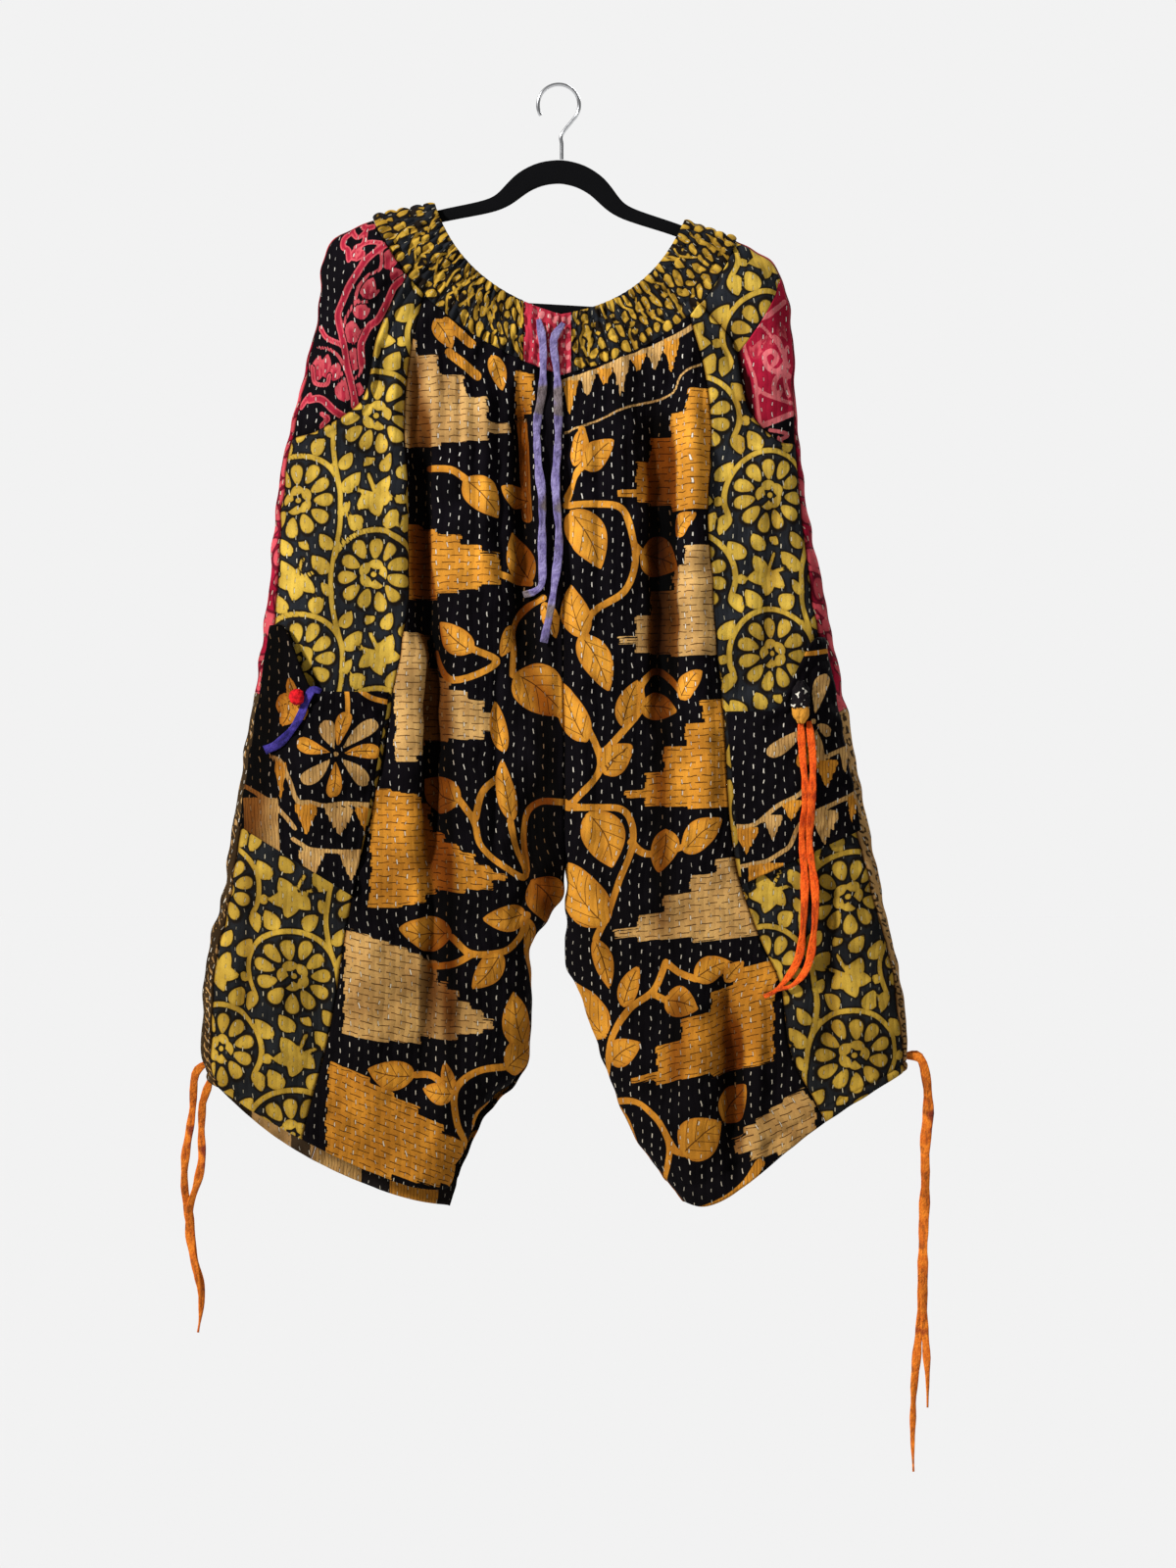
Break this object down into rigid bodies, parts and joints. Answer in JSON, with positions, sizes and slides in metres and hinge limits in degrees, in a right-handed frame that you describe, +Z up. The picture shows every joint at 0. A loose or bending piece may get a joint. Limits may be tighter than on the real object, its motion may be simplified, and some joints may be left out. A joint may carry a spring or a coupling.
{
  "type": "cargo capri joggers on a slim hanger",
  "caption": "Drop-crotch cargo capri joggers in quilted patchwork cotton, hung open by their shirred waist over a slim hanger.",
  "frame": {"origin": "inside top of the hanger's hook, where a rail carries it", "axes": "+Z up, -Y towards the viewer of the garment's front, +X towards the wearer's left leg"},
  "size_m": [0.7309, 0.1026, 1.3465],
  "materials": {
    "yellow_floral_cotton": "olive-yellow vine and rosette print on charcoal, hand stitched in rows, washed",
    "amber_leaf_cotton": "amber leaf vines and stepped blocks on near black, hand stitched in rows",
    "border_print_cotton": "sari border print in tan on near black, hand stitched",
    "scroll_print_cotton": "red and coral scroll print, hand stitched",
    "red_patch_cotton": "coral red print, shirred",
    "geometric_cotton": "tan and black small geometric print, hand stitched",
    "lavender_tie_cotton": "mottled lavender strip",
    "purple_tie_cotton": "purple-blue strip",
    "red_knot_cotton": "red cotton knot",
    "border_knot_cotton": "gathered pocket cloth",
    "orange_tie_cotton": "bright orange strip",
    "rust_tie_cotton": "rust orange strip with maroon flecks",
    "flocked_velvet": "black flock over a plastic core",
    "hook_steel": "bright plated wire"
  },
  "bodies": {
    "root": {"waistband_right": "yellow_floral_cotton", "waistband_left": "yellow_floral_cotton", "waistband_patch": "red_patch_cotton", "front_centre_right": "amber_leaf_cotton", "front_centre_left": "amber_leaf_cotton", "front_side_right": "yellow_floral_cotton", "front_side_left": "yellow_floral_cotton", "hip_pocket_facing_right": "scroll_print_cotton", "hip_pocket_facing_left": "scroll_print_cotton", "hip_pocket_facing_top_left": "yellow_floral_cotton", "cargo_pocket_right": "border_print_cotton", "cargo_pocket_left": "border_print_cotton", "back_side_upper_right": "scroll_print_cotton", "back_side_upper_left": "scroll_print_cotton", "back_side_lower_right": "geometric_cotton", "back_side_lower_left": "geometric_cotton", "back_centre_right": "amber_leaf_cotton", "back_centre_left": "amber_leaf_cotton", "waist_tie_right": "lavender_tie_cotton", "waist_tie_left": "lavender_tie_cotton", "pocket_tie_right": "purple_tie_cotton", "pocket_knot_right": "red_knot_cotton", "pocket_knot_left": "border_knot_cotton", "pocket_tie_left_inner": "orange_tie_cotton", "pocket_tie_left_outer": "orange_tie_cotton", "hem_tie_right_inner": "rust_tie_cotton", "hem_tie_right_outer": "rust_tie_cotton", "hem_tie_left_inner": "rust_tie_cotton", "hem_tie_left_outer": "rust_tie_cotton", "hanger_body": "flocked_velvet", "hanger_hook": "hook_steel"}
  },
  "joints": []
}
